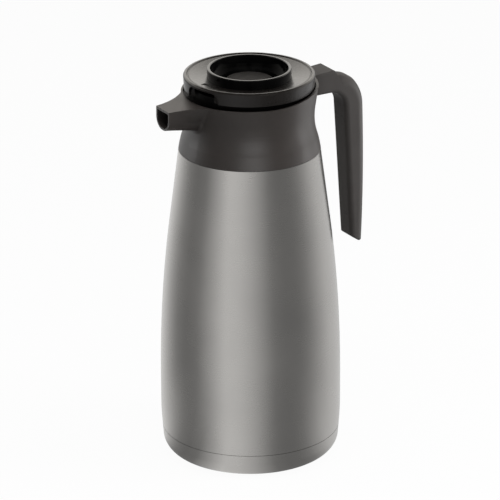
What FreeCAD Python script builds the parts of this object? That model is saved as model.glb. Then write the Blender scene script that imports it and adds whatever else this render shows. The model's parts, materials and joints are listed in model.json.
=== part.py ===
import FreeCAD, Part
import math
import os
import Sketcher

# A steel vacuum jug with a plastic collar, spout, handle and a brew-through lid.
# The jug stands on the XY plane, its axis is Z, its handle points to +X and its spout to -X.

# Driving dimensions, in millimetres and degrees
DRIVING_SIZES = {
    # Steel shell and base
    "steel_wall": 0.8,
    "body_radius": 65.1,
    "belly_low": 38.0,
    "belly_high": 60.0,
    "flank_radius": 57.25,
    "flank_height": 180.0,
    "joint_radius": 50.7,
    "joint_height": 231.0,
    "seam_radius": 64.2,
    "seam_height": 19.0,
    "seam_gap": 0.3,
    "shoulder_radius": 47.9,
    "neck_radius": 36.0,
    "neck_foot": 243.0,
    "neck_top": 252.5,
    "heel_radius": 12.0,
    "heel_top_radius": 63.7,
    "base_lift": 0.8,
    "pad_radius": 48.0,
    "pad_height": 2.5,
    "lip_height": 26.0,
    # Inner flask and the vacuum space
    "vacuum_gap": 3.6,
    "flask_floor": 14.0,
    "flask_corner": 16.0,
    "mouth_radius": 33.0,
    "mouth_height": 254.0,
    "seal_disc_radius": 6.0,
    "getter_radius": 8.0,
    "getter_height": 3.0,
    "getter_offset": 22.0,
    # Collar and its rim
    "collar_gap": 0.25,
    "collar_bulge_radius": 48.7,
    "collar_bulge_height": 240.6,
    "waist_radius": 46.3,
    "waist_height": 255.0,
    "flare_radius": 47.3,
    "flare_height": 266.0,
    "crown_radius": 49.5,
    "crown_height": 281.0,
    "rim_height": 274.5,
    "rim_bend": -2.0,
    "rim_rise": 0.084,
    "rim_blend": 14.0,
    "skirt_bore": 48.1,
    "web_under": 246.0,
    "web_top": 250.0,
    "web_hole": 36.4,
    "collar_bore": 43.0,
    "rim_bore": 47.2,
    "rim_seat_low": 269.5,
    "rim_seat_high": 271.5,
    # Spout
    "spout_reach": 70.5,
    "spout_wall": 1.6,
    "spout_bend": 38.0,
    "spout_fall": 0.0585,
    "mouth_half_width": 9.2,
    "mouth_floor": 257.2,
    "throat_place": 53.0,
    "throat_half_width": 16.8,
    "throat_low_half_width": 10.6,
    "throat_floor": 254.8,
    "root_place": 38.0,
    "root_half_width": 35.0,
    "root_low_half_width": 13.0,
    "root_floor": 252.2,
    "spout_blend": 3.0,
    "passage_ceiling": 270.9,
    "passage_root": 42.0,
    "passage_root_half_width": 9.2,
    "passage_root_ceiling": 268.4,
    "passage_root_floor": 257.2,
    "recess_start": 40.0,
    "recess_end": 44.05,
    "recess_half_width": 11.7,
    "recess_corner": 0.8,
    # Handle
    "grip_width": 20.0,
    "grip_end_width": 17.0,
    "arm_start": 40.0,
    "arm_top": 273.9,
    "arm_end": 72.5,
    "elbow_reach": 84.0,
    "elbow_height": 268.8,
    "grip_reach": 91.6,
    "grip_shoulder": 250.0,
    "grip_bow": 1200.0,
    "grip_foot_reach": 90.8,
    "grip_foot_height": 140.0,
    "grip_end_reach": 91.3,
    "grip_end_height": 142.1,
    "grip_heel_reach": 80.7,
    "grip_heel_height": 149.5,
    "palm_reach": 74.6,
    "palm_height": 251.5,
    "arm_under": 262.7,
    "arm_under_end": 61.8,
    "outer_edge_round": 7.0,
    "foot_edge_round": 5.6,
    "inner_edge_round": 3.5,
    "tip_edge_round": 1.6,
    "thumb_rest_end": 65.0,
    "thumb_rest_foot": 72.5,
    "thumb_rest_low": 266.8,
    "thumb_rest_edge": 1.1,
    "cover_low": 166.0,
    "cover_high": 242.0,
    "cover_width": 10.5,
    "cover_depth": 2.0,
    "cover_play": 0.15,
    "handle_screw_height": 266.2,
    "handle_screw_spread": 5.5,
    "handle_screw_end": 57.0,
    # Lid
    "lid_radius": 46.8,
    "lid_band_radius": 46.4,
    "lid_band_low": 277.5,
    "lid_edge_height": 285.5,
    "lid_border_height": 287.1,
    "lid_border_round": 1.6,
    "lid_groove_radius": 43.6,
    "lid_dish_edge": 286.5,
    "lid_dish_low": 284.3,
    "lid_wall": 2.2,
    "notch_turn": 12.5,
    "notch_half_width": 14.3,
    "notch_top": 284.4,
    "notch_corner": 5.0,
    "notch_edge": 0.8,
    "drum_radius": 42.6,
    "drum_wall": 2.0,
    "drum_low": 252.2,
    "drum_top": 280.5,
    "drum_plate": 2.7,
    "drum_hole": 22.8,
    "port_half_width": 13.0,
    "port_low": 256.6,
    "port_high": 267.6,
    "port_corner": 3.0,
    "lid_screw_circle": 38.0,
    "lid_screw_count": 3,
    "lid_seal_height": 2.0,
    # Funnel ring and well
    "ring_radius": 29.95,
    "ring_bore": 27.7,
    "ring_top": 291.25,
    "ring_edge": 0.6,
    "well_floor": 282.7,
    "well_hole": 20.8,
    "throat_low": 274.0,
    "throat_low_radius": 18.6,
    "tube_radius": 9.5,
    "tube_wall": 2.0,
    "tube_top": 269.0,
    "tube_low": 262.0,
    "flange_radius": 34.8,
    "flange_low": 280.6,
    "spider_low": 264.0,
    "spider_top": 267.5,
    "spider_arm": 2.4,
    # Brew-through valve
    "disc_radius": 16.8,
    "disc_top": 282.4,
    "disc_rim": 2.2,
    "disc_hub_radius": 5.0,
    "disc_hub_low": 278.0,
    "stem_radius": 2.5,
    "stem_play": 0.05,
    "stem_low": 254.5,
    "stem_top": 281.0,
    "plate_radius": 11.8,
    "plate_low": 257.2,
    "plate_top": 259.6,
    "valve_seal_top": 261.9,
    "nut_across": 8.0,
    "spring_radius": 3.6,
    "spring_wire": 0.8,
    "spring_turns": 4.5,
    # Common small parts
    "running_play": 0.1,
    "screw_radius": 1.5,
    "screw_head_radius": 2.9,
    "screw_head_depth": 1.8,
    "nut_ring_radius": 39.8,
    "nut_slot_width": 5.0,
    "nut_slot_depth": 1.6,
    "nut_slot_count": 8,
}

SHEET_NAME = "Sizes"
SMOOTH = "smooth"


class Size:
    """A length that carries its value and the sheet formula it comes from."""

    def __init__(self, value, formula):
        self.value = value
        self.formula = formula

    def __add__(self, other):
        return Size(self.value + value_of(other), f"({self.formula} + {formula_of(other)})")

    def __sub__(self, other):
        return Size(self.value - value_of(other), f"({self.formula} - {formula_of(other)})")

    def __mul__(self, other):
        return Size(self.value * value_of(other), f"({self.formula} * {formula_of(other)})")

    def __truediv__(self, other):
        return Size(self.value / value_of(other), f"({self.formula} / {formula_of(other)})")

    def __neg__(self):
        return Size(-self.value, f"(0 - {self.formula})")


def value_of(size):
    return size.value if isinstance(size, Size) else float(size)


def formula_of(size):
    return size.formula if isinstance(size, Size) else repr(float(size))


def size(name):
    return Size(DRIVING_SIZES[name], f"{SHEET_NAME}.{name}")


def sizes(*names):
    return [size(name) for name in names]


def write_sheet(document):
    sheet = document.addObject("Spreadsheet::Sheet", SHEET_NAME)
    for row, (name, value) in enumerate(DRIVING_SIZES.items(), start=1):
        sheet.set(f"A{row}", name)
        sheet.set(f"B{row}", str(value))
        sheet.setAlias(f"B{row}", name)
    document.recompute()


doc = FreeCAD.newDocument("vacuum_jug")
write_sheet(doc)


# Drawing and shaping helpers

def rim_line(place):
    """Height of the rim where it rises towards the handle, at a place along X."""
    return size("rim_height") - (size("rim_bend") - place) * size("rim_rise")


def spout_line(place):
    """Height of the rim where it falls towards the spout's mouth, at a place along X."""
    return size("rim_height") + (size("spout_bend") + place) * size("spout_fall")


def tangent_radius(run, rise):
    """Radius of the arc that leaves along the run and drifts sideways by the rise."""
    return (run * run + rise * rise) / (rise * 2)


def new_body(label):
    body = doc.addObject("PartDesign::Body", label)
    body.Label = label
    return body


def origin_part(body, role):
    return next(part for part in body.Origin.OriginFeatures if part.Role == role)


class Loose(Size):
    """A starting value only: the drawing's smooth joints settle the ordinate."""


def loose(name):
    return Loose(DRIVING_SIZES[name], f"{SHEET_NAME}.{name}")


def arc_centre(start, end, radius):
    """Centre of an arc under a half circle; a positive radius turns left from start to end."""
    chord = end - start
    left = FreeCAD.Vector(-chord.y, chord.x, 0).normalize()
    reach = math.sqrt(radius ** 2 - (chord.Length / 2) ** 2)
    return (start + end) * 0.5 + left * math.copysign(reach, radius)


def arc_run(start, end, radius):
    """The arc from start to end, drawn anticlockwise as arcs are kept."""
    centre = arc_centre(start, end, radius)
    first, last = (start, end) if radius > 0 else (end, start)
    circle = Part.Circle(centre, FreeCAD.Vector(0, 0, 1), abs(radius))
    first_angle = math.atan2(first.y - centre.y, first.x - centre.x)
    last_angle = math.atan2(last.y - centre.y, last.x - centre.x)
    return Part.ArcOfCircle(circle, first_angle, last_angle)


def leaving_heading(start, end, radius):
    """Heading at the end of a run, in radians: a line where the radius is None."""
    chord = end - start
    heading = math.atan2(chord.y, chord.x)
    if radius is None:
        return heading
    return heading + math.asin(chord.Length / 2 / radius)


def smooth_radius(start, end, heading):
    """Radius of the arc that leaves start along the heading and arrives at end."""
    chord = end - start
    turn = math.atan2(chord.y, chord.x) - heading
    turn = math.atan2(math.sin(turn), math.cos(turn))
    return chord.Length / 2 / math.sin(turn)


def bind(sketch, constraint, formula):
    index = sketch.addConstraint(constraint)
    sketch.setExpression(f"Constraints[{index}]", formula)


def pin_ordinate(sketch, kind, axis, run, end, ordinate):
    """Hold one end of a run at a bound distance from the origin, or on the axis at zero."""
    value = value_of(ordinate)
    if isinstance(ordinate, Loose):
        return
    if abs(value) < 1e-9:
        sketch.addConstraint(Sketcher.Constraint("PointOnObject", run, end, axis))
    elif value > 0:
        bind(sketch, Sketcher.Constraint(kind, -1, 1, run, end, value), formula_of(ordinate))
    else:
        bind(sketch, Sketcher.Constraint(kind, run, end, -1, 1, -value), f"0 - {formula_of(ordinate)}")


def attached_sketch(body, name, plane, offset):
    """An empty sketch on one of the body's own planes, lifted off it by an offset where one is given."""
    sketch = body.newObject("Sketcher::SketchObject", name)
    sketch.AttachmentSupport = [(origin_part(body, plane), "")]
    sketch.MapMode = "FlatFace"
    if offset is not None:
        sketch.setExpression("AttachmentOffset.Base.z", formula_of(offset))
    return sketch


def outline(body, name, plane, corners, offset=None):
    """A closed outline on one of the body's own planes.

    Each corner is (x, y) where a line leads on to the next corner, or (x, y, bend) for an arc. A bend is a
    radius, positive where the arc turns left, or SMOOTH where the arc runs on from the run before it and
    takes its radius from that.
    """
    sketch = attached_sketch(body, name, plane, offset)
    points = [FreeCAD.Vector(value_of(corner[0]), value_of(corner[1]), 0) for corner in corners]
    ends = []
    heading = 0
    for index, corner in enumerate(corners):
        start = points[index]
        end = points[(index + 1) % len(points)]
        bend = corner[2] if len(corner) == 3 else None
        radius = smooth_radius(start, end, heading) if bend == SMOOTH else bend
        radius = None if radius is None else value_of(radius)
        heading = leaving_heading(start, end, radius)
        if radius is None:
            run = sketch.addGeometry(Part.LineSegment(start, end), False)
            ends.append((run, 1, 2))
        else:
            run = sketch.addGeometry(arc_run(start, end, radius), False)
            ends.append((run, 1, 2) if radius > 0 else (run, 2, 1))
    for index, (run, start, end) in enumerate(ends):
        after = (index + 1) % len(ends)
        joint = "Tangent" if is_smooth(corners[index], corners[after]) else "Coincident"
        sketch.addConstraint(Sketcher.Constraint(joint, run, end, ends[after][0], ends[after][1]))
    for corner, (run, start, _) in zip(corners, ends):
        pin_ordinate(sketch, "DistanceX", -2, run, start, corner[0])
        pin_ordinate(sketch, "DistanceY", -1, run, start, corner[1])
        if len(corner) == 3 and corner[2] != SMOOTH:
            radius = value_of(corner[2])
            sign = "" if radius > 0 else "0 - "
            bind(sketch, Sketcher.Constraint("Radius", run, abs(radius)), sign + formula_of(corner[2]))
    return sketch


def is_smooth(before, after):
    """Whether two runs join smoothly, at a loose corner, before a smooth arc or after a loosely set arc."""
    smooth_arc = len(after) == 3 and after[2] == SMOOTH
    loose_arc = len(before) == 3 and isinstance(before[0], Loose)
    return smooth_arc or loose_arc or isinstance(after[0], Loose)


def circle_sketch(body, name, plane, centres, radius, offset=None):
    """Round holes or pegs of one radius on one of the body's own planes."""
    sketch = attached_sketch(body, name, plane, offset)
    for x, y in centres:
        centre = FreeCAD.Vector(value_of(x), value_of(y), 0)
        run = sketch.addGeometry(Part.Circle(centre, FreeCAD.Vector(0, 0, 1), value_of(radius)), False)
        pin_ordinate(sketch, "DistanceX", -2, run, 3, x)
        pin_ordinate(sketch, "DistanceY", -1, run, 3, y)
        bind(sketch, Sketcher.Constraint("Radius", run, value_of(radius)), formula_of(radius))
    return sketch


def revolve(body, name, kind, corners):
    sketch = outline(body, name + "_profile", "XZ_Plane", corners)
    feature = body.newObject(kind, name)
    feature.Profile = sketch
    feature.ReferenceAxis = (sketch, ["V_Axis"])
    feature.Angle = 360
    return feature


def turned_body(label, corners):
    """A piece turned about the jug's axis from a profile of radius and height."""
    body = new_body(label)
    revolve(body, label + "_turn", "PartDesign::Revolution", corners)
    return body


def turned_cut(body, name, corners):
    return checked_cut(body, lambda: revolve(body, name, "PartDesign::Groove", corners))


def checked_cut(body, make_cut):
    """Make a cut and see that it takes something away."""
    doc.recompute()
    before = body.Shape.Volume
    feature = make_cut()
    doc.recompute()
    if body.Shape.Volume > before - 1e-3:
        raise RuntimeError(f"{feature.Name} cuts nothing from {body.Label}")
    return feature


def pad(body, name, sketch, length, symmetric=False, backwards=False):
    feature = body.newObject("PartDesign::Pad", name)
    feature.Profile = sketch
    feature.SideType = "Symmetric" if symmetric else "One side"
    feature.Reversed = backwards
    feature.setExpression("Length", formula_of(length))
    return feature


def pocket(body, name, sketch, length=None, symmetric=False, backwards=False):
    """A cut of a given length, or right through where no length is given."""
    def make_cut():
        feature = body.newObject("PartDesign::Pocket", name)
        feature.Profile = sketch
        feature.SideType = "Symmetric" if symmetric else "One side"
        feature.Reversed = backwards
        if length is None:
            feature.Type = "ThroughAll"
        else:
            feature.setExpression("Length", formula_of(length))
        return feature
    return checked_cut(body, make_cut)


def polar_pattern(body, name, feature, count):
    pattern = body.newObject("PartDesign::PolarPattern", name)
    pattern.Originals = [feature]
    pattern.Axis = (origin_part(body, "Z_Axis"), [""])
    pattern.Angle = 360
    pattern.setExpression("Occurrences", formula_of(count))
    body.Tip = pattern
    return pattern


def loft(body, name, kind, sections):
    feature = body.newObject(kind, name)
    feature.Profile = sections[0]
    feature.Sections = sections[1:]
    return feature


def round_edges(body, name, radius, wanted):
    """Round the edges whose middle point the test picks."""
    doc.recompute()
    base = body.Tip
    names = []
    for index, edge in enumerate(base.Shape.Edges, start=1):
        middle = edge.valueAt((edge.FirstParameter + edge.LastParameter) / 2)
        if wanted(edge, middle):
            names.append(f"Edge{index}")
    feature = body.newObject("PartDesign::Fillet", name)
    feature.Base = (base, names)
    feature.setExpression("Radius", formula_of(radius))
    doc.recompute()
    return feature


# Steel body: shell, base cup, inner flask and what closes the vacuum space

def body_flank(inset):
    """The long tapering side of the steel body, set in by an inset."""
    body_radius, flank_radius = sizes("body_radius", "flank_radius")
    belly_high, flank_height = sizes("belly_high", "flank_height")
    flank_arc = tangent_radius(flank_height - belly_high, body_radius - flank_radius)
    return [
        (body_radius - inset, belly_high, flank_arc),
        (flank_radius - inset, flank_height),
    ]


def body_side(inset):
    """The whole side of the steel body from its seam up to the collar joint, set in by an inset."""
    seam_radius, body_radius, joint_radius = sizes("seam_radius", "body_radius", "joint_radius")
    belly_low = size("belly_low")
    foot = size("seam_height") + size("seam_gap")
    foot_arc = tangent_radius(belly_low - foot, body_radius - seam_radius)
    low = [(seam_radius - inset, foot, foot_arc), (body_radius - inset, belly_low)]
    high = [(joint_radius - inset, size("joint_height") - inset)]
    return low + body_flank(inset) + high


def reverse_run(corners):
    """The same line walked the other way, with its arcs turning the other way."""
    walked = []
    for index in range(len(corners) - 1, -1, -1):
        x, y = corners[index][0], corners[index][1]
        arc = corners[index - 1][2:] if index > 0 else ()
        walked.append((x, y, -arc[0]) if arc else (x, y))
    return walked


def make_outer_shell():
    wall, neck_radius, shoulder = sizes("steel_wall", "neck_radius", "shoulder_radius")
    joint_height, neck_foot, neck_top = sizes("joint_height", "neck_foot", "neck_top")
    step = wall * 2
    neck = [
        (shoulder, joint_height),
        (shoulder, joint_height + step),
        (neck_radius, neck_foot),
        (neck_radius, neck_top),
        (neck_radius - wall, neck_top),
        (neck_radius - wall, neck_foot - wall),
        (shoulder - wall, joint_height + step - wall),
        (shoulder - wall, joint_height - wall),
    ]
    return turned_body("outer_shell", body_side(wall * 0) + neck + reverse_run(body_side(wall)))


def make_base_cup():
    wall, seam_radius, seam_height = sizes("steel_wall", "seam_radius", "seam_height")
    heel, heel_top, lift = sizes("heel_radius", "heel_top_radius", "base_lift")
    pad_edge = size("pad_radius") + size("running_play") * 3
    pad_height = size("pad_height") + size("running_play")
    lip = seam_radius - wall - size("running_play")
    lip_height = size("lip_height")
    return turned_body("base_cup", [
        (0, pad_height),
        (pad_edge, pad_height),
        (pad_edge, lift),
        (heel_top - heel, lift, heel),
        (heel_top, lift + heel),
        (seam_radius, seam_height),
        (lip, seam_height),
        (lip, lip_height),
        (lip - wall, lip_height),
        (lip - wall, seam_height),
        (heel_top - wall, lift + heel, wall - heel),
        (heel_top - heel, lift + wall),
        (pad_edge + wall, lift + wall),
        (pad_edge + wall, pad_height + wall),
        (0, pad_height + wall),
    ])


def make_inner_flask():
    wall, floor, corner = sizes("steel_wall", "flask_floor", "flask_corner")
    mouth, mouth_height, neck_top = sizes("mouth_radius", "mouth_height", "neck_top")
    neck_radius, neck_foot = sizes("neck_radius", "neck_foot")
    inset = wall + size("vacuum_gap")
    side = size("body_radius") - inset
    shoulder_drop = size("vacuum_gap")

    def flask_side(extra):
        """The flask's side above its rounded corner, set in by one more wall for the inside."""
        return body_flank(inset + extra) + [
            (size("joint_radius") - inset - extra, size("joint_height") - inset - extra),
            (mouth + wall - extra, neck_foot - shoulder_drop - extra),
        ]

    none = wall * 0
    outside = [
        (0, floor),
        (side - corner, floor, corner),
        (side, floor + corner),
    ] + flask_side(none)
    mouth_lip = [
        (mouth + wall, neck_top),
        (neck_radius, neck_top),
        (neck_radius, mouth_height),
        (mouth, mouth_height),
    ]
    inside = reverse_run(flask_side(wall)) + [
        (side - wall, floor + corner, wall - corner),
        (side - corner, floor + wall),
        (0, floor + wall),
    ]
    return turned_body("inner_flask", outside + mouth_lip + inside)


def make_vacuum_seal():
    radius, pad_height = sizes("seal_disc_radius", "pad_height")
    top = pad_height + size("running_play")
    return turned_body("vacuum_seal", [
        (0, top - 1.2),
        (radius * 0.4, top - 1.2),
        (radius, top - 0.5),
        (radius, top),
        (0, top),
    ])


def make_getter():
    body = new_body("getter")
    floor = size("pad_height") + size("running_play") + size("steel_wall")
    sketch = circle_sketch(body, "getter_round", "XY_Plane", [(size("getter_offset"), 0)],
                           size("getter_radius"), offset=floor)
    pad(body, "getter_cup", sketch, size("getter_height"))
    round_edges(body, "getter_edge", size("steel_wall"), lambda edge, middle: middle.z > value_of(floor) + 1)
    return body


def make_base_pad():
    radius, height = sizes("pad_radius", "pad_height")
    pocket_radius = size("seal_disc_radius") + 1.5
    chamfer = size("base_lift") * 0.75
    return turned_body("base_pad", [
        (0, 0),
        (radius - chamfer, 0),
        (radius, chamfer),
        (radius, height),
        (pocket_radius, height),
        (pocket_radius, height - 1.4),
        (0, height - 1.4),
    ])


# Collar with its spout, and what holds it on the neck

def collar_side(play):
    """The collar's outside from the steel joint up past its rim, moved out by a play."""
    bulge_radius, bulge_height = sizes("collar_bulge_radius", "collar_bulge_height")
    waist_radius, waist_height = sizes("waist_radius", "waist_height")
    flare_radius, flare_height = sizes("flare_radius", "flare_height")
    flare_arc = tangent_radius(flare_height - waist_height, flare_radius - waist_radius)
    curl = size("collar_bulge_height") - size("joint_height")
    return [
        (size("joint_radius") + play, size("joint_height") + size("collar_gap"), curl * 10),
        (bulge_radius + play, bulge_height, -(curl * 4.5)),
        (waist_radius + play, waist_height, -flare_arc),
        (flare_radius + play, flare_height),
        (size("crown_radius") + play, size("crown_height")),
    ]


def spout_section(body, name, place, half_width, low, floor, ceiling, corner):
    """A cup-shaped section across the spout: flat top, sides drawn in to a low half width, rounded bottom."""
    return outline(body, name, "YZ_Plane", [
        (-half_width, ceiling),
        (-low, floor + corner, corner),
        (-low + corner, floor),
        (low - corner, floor, corner),
        (low, floor + corner),
        (half_width, ceiling),
    ], offset=-place)


def above_rim(body, name):
    """Everything above the rim, which falls to the spout, lies level and rises to the handle."""
    far = size("spout_reach") * 2
    height, top, blend = sizes("rim_height", "ring_top", "rim_blend")
    spout_bend = -size("spout_bend")
    rim_bend = size("rim_bend")
    return outline(body, name, "XZ_Plane", [
        (-far, spout_line(-far)),
        (spout_bend - blend, spout_line(spout_bend - blend), SMOOTH),
        (spout_bend + blend, height),
        (rim_bend - blend, height, SMOOTH),
        (rim_bend + blend, rim_line(rim_bend + blend)),
        (far, rim_line(far)),
        (far, top),
        (-far, top),
    ])


def is_spout_root(edge, middle):
    """Whether an edge runs where the spout grows out of the collar's round side."""
    across = math.hypot(middle.x, middle.y)
    on_collar = DRIVING_SIZES["waist_radius"] - 0.3 < across < DRIVING_SIZES["crown_radius"] - 1
    below_rim = DRIVING_SIZES["root_floor"] < middle.z < DRIVING_SIZES["rim_height"] - 1
    return middle.x < -DRIVING_SIZES["root_place"] and on_collar and below_rim


def make_collar():
    body = new_body("collar")
    crown = size("crown_height")
    revolve(body, "collar_turn", "PartDesign::Revolution", collar_side(0) + [
        (0, crown),
        (0, size("joint_height") + size("collar_gap")),
    ])
    wall = size("spout_wall")
    reach, mouth, mouth_floor = sizes("spout_reach", "mouth_half_width", "mouth_floor")
    corner = mouth * 0.9
    spout = [
        spout_section(body, "spout_mouth", reach, mouth, mouth, mouth_floor, crown, corner),
        spout_section(body, "spout_throat", size("throat_place"), size("throat_half_width"),
                      size("throat_low_half_width"), size("throat_floor"), crown, corner),
        spout_section(body, "spout_root", size("root_place"), size("root_half_width"),
                      size("root_low_half_width"), size("root_floor"), crown, corner),
    ]
    loft(body, "spout_outside", "PartDesign::AdditiveLoft", spout)
    pocket(body, "rim_cut", above_rim(body, "rim_cut_side"), symmetric=True)
    round_edges(body, "spout_root_blend", size("spout_blend"), is_spout_root)
    skirt, under, web_top = sizes("skirt_bore", "web_under", "web_top")
    bore, rim_bore, hole = sizes("collar_bore", "rim_bore", "web_hole")
    foot = size("joint_height") - 1
    turned_cut(body, "collar_inside", [
        (0, foot),
        (skirt, foot),
        (skirt, size("joint_height") + 3),
        (skirt - wall * 2, under),
        (hole, under),
        (hole, web_top),
        (bore, web_top),
        (bore, size("rim_seat_low")),
        (rim_bore, size("rim_seat_high")),
        (rim_bore, crown),
        (0, crown),
    ])
    inner = mouth - wall
    inner_root = size("passage_root_half_width")
    passage = [
        spout_section(body, "passage_mouth", reach + 1, inner, inner, mouth_floor + wall,
                      size("passage_ceiling"), inner * 0.9),
        spout_section(body, "passage_root", size("passage_root"), inner_root, inner_root,
                      size("passage_root_floor"), size("passage_root_ceiling"), inner * 0.7),
    ]
    checked_cut(body, lambda: loft(body, "spout_passage", "PartDesign::SubtractiveLoft", passage))
    recess_start, recess = sizes("recess_start", "recess_half_width")
    window = spout_section(body, "pour_recess", recess_start, recess, recess, size("passage_root_floor"),
                           size("passage_root_ceiling"), size("recess_corner"))
    pocket(body, "pour_recess_cut", window, length=size("recess_end") - recess_start)
    spread, height = sizes("handle_screw_spread", "handle_screw_height")
    places = [(-spread, height), (spread, height)]
    shank = circle_sketch(body, "handle_holes", "YZ_Plane", places, size("screw_radius") + 0.2)
    pocket(body, "handle_hole_cut", shank, length=size("spout_reach"), backwards=True)
    head = circle_sketch(body, "handle_head_holes", "YZ_Plane", places, size("screw_head_radius") + 0.3)
    head_depth = size("collar_bore") + size("screw_head_depth")
    pocket(body, "handle_head_cut", head, length=head_depth, backwards=True)
    return body


def make_collar_gasket():
    neck_radius, neck_foot, shoulder = sizes("neck_radius", "neck_foot", "shoulder_radius")
    under = size("web_under")
    play = size("running_play")
    step = size("steel_wall") * 2
    slope = (neck_foot - size("joint_height") - step) / (shoulder - neck_radius)
    inner = neck_radius + 0.5
    outer = neck_radius + 4.5

    def shoulder_height(radius):
        return neck_foot - (radius - neck_radius) * slope + play

    return turned_body("collar_gasket", [
        (inner, shoulder_height(inner)),
        (outer, shoulder_height(outer)),
        (outer, under - play),
        (inner, under - play),
    ])


def make_neck_nut():
    inner = size("neck_radius") + size("running_play")
    outer, web_top, top = sizes("nut_ring_radius", "web_top", "mouth_height")
    low = web_top + size("running_play")
    body = turned_body("neck_nut", [
        (inner, low),
        (outer, low),
        (outer, top - 0.8),
        (outer - 0.8, top),
        (inner, top),
    ])
    half = size("nut_slot_width") / 2
    depth = size("nut_slot_depth")
    slot = outline(body, "spanner_slot", "YZ_Plane", [
        (-half, top - depth),
        (half, top - depth),
        (half, top + depth),
        (-half, top + depth),
    ])
    cut = pocket(body, "spanner_slot_cut", slot, length=outer * 2, backwards=True)
    polar_pattern(body, "spanner_slots", cut, size("nut_slot_count"))
    return body


# Handle, its inner cover and its screws

def handle_side():
    """The handle's side view: level arm, elbow, and a grip that runs on below its end cut."""
    start, top = sizes("arm_start", "arm_top")
    foot = size("grip_foot_height")
    return [
        (start, size("arm_under")),
        (loose("arm_under_end"), size("arm_under"), SMOOTH),
        (size("palm_reach"), size("palm_height")),
        (palm_line(foot), foot),
        (size("grip_foot_reach"), foot, size("grip_bow")),
        (size("grip_reach"), size("grip_shoulder"), SMOOTH),
        (size("elbow_reach"), size("elbow_height"), SMOOTH),
        (loose("arm_end"), top),
        (start, top),
    ]


def palm_line(height):
    """How far out the flat inside of the grip is at a height."""
    top, low = sizes("palm_height", "grip_heel_height")
    reach, end = sizes("palm_reach", "grip_heel_reach")
    return end - (height - low) * ((end - reach) / (top - low))


def cover_strip(body, name, play):
    """Side view of the strip let into the inside of the grip, larger by a play for its recess."""
    low = size("cover_low") - play
    high = size("cover_high") + play
    depth = size("cover_depth") + play
    proud = size("cover_depth") * 0 if value_of(play) == 0 else size("cover_depth")
    return outline(body, name, "XZ_Plane", [
        (palm_line(low) - proud, low),
        (palm_line(low) + depth, low),
        (palm_line(high) + depth, high),
        (palm_line(high) - proud, high),
    ])


def on_side(point):
    """Whether a point of the handle lies on one of its two side faces."""
    return abs(point.y) > DRIVING_SIZES["grip_end_width"] / 2 - 0.8


def taper_sides(body, name):
    """Cut both sides of the handle so that it narrows towards its lower end."""
    width = size("grip_width")
    half, end_half = width / 2, size("grip_end_width") / 2
    top, low = sizes("crown_height", "grip_foot_height")
    for side, place in ((-1, "near"), (1, "far")):
        wedge = outline(body, f"{name}_{place}_taper", "YZ_Plane", [
            (half * side, top),
            (end_half * side, low - 5),
            (width * side, low - 5),
            (width * side, top),
        ])
        pocket(body, f"{name}_{place}_taper_cut", wedge, length=size("grip_reach") * 2, backwards=True)


def make_handle_blank():
    """The handle before its end, its seat and its holes are cut, with only its inner edges rounded."""
    body = new_body("handle_blank")
    side = outline(body, "handle_outline", "XZ_Plane", handle_side())
    pad(body, "handle_pad", side, size("grip_width"), symmetric=True)
    taper_sides(body, "handle")
    arm_under, heel = DRIVING_SIZES["arm_under"], DRIVING_SIZES["grip_heel_reach"]

    def is_inner(edge, middle):
        return on_side(middle) and middle.z < arm_under - 1 and middle.x < heel and edge.Length > 10

    round_edges(body, "inner_round", size("inner_edge_round"), is_inner)
    return body


def rounded_handle(blank):
    """The blank with its outer edges rounded: full on the arm and elbow, smaller towards the grip's foot."""
    full, small = DRIVING_SIZES["outer_edge_round"], DRIVING_SIZES["foot_edge_round"]
    arm_top, back = DRIVING_SIZES["arm_under"] + 8, DRIVING_SIZES["elbow_reach"]
    shoulder = DRIVING_SIZES["grip_shoulder"]
    edges = []
    for index, edge in enumerate(blank.Shape.Edges, start=1):
        middle = edge.valueAt((edge.FirstParameter + edge.LastParameter) / 2)
        first, last = edge.Vertexes[0].Point, edge.Vertexes[-1].Point
        if not on_side(middle) or edge.Length < 10:
            continue
        if middle.x > back and middle.z < shoulder:
            edges.append((index, small, full) if first.z < last.z else (index, full, small))
        elif middle.x > back or middle.z > arm_top:
            edges.append((index, full, full))
    feature = doc.addObject("Part::Fillet", "handle_rounded")
    feature.Base = blank
    feature.Edges = edges
    doc.recompute()
    return feature


def add_thumb_rest(body):
    """A flat-topped block on the arm, flush with its sides, that carries on the line of the rim."""
    start, end, low = sizes("arm_start", "thumb_rest_end", "thumb_rest_low")
    side = outline(body, "thumb_rest_side", "XZ_Plane", [
        (start, low),
        (size("thumb_rest_foot"), low),
        (end, rim_line(end)),
        (start, rim_line(start)),
    ])
    pad(body, "thumb_rest", side, size("grip_width"), symmetric=True)
    taper_sides(body, "thumb_rest")


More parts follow.
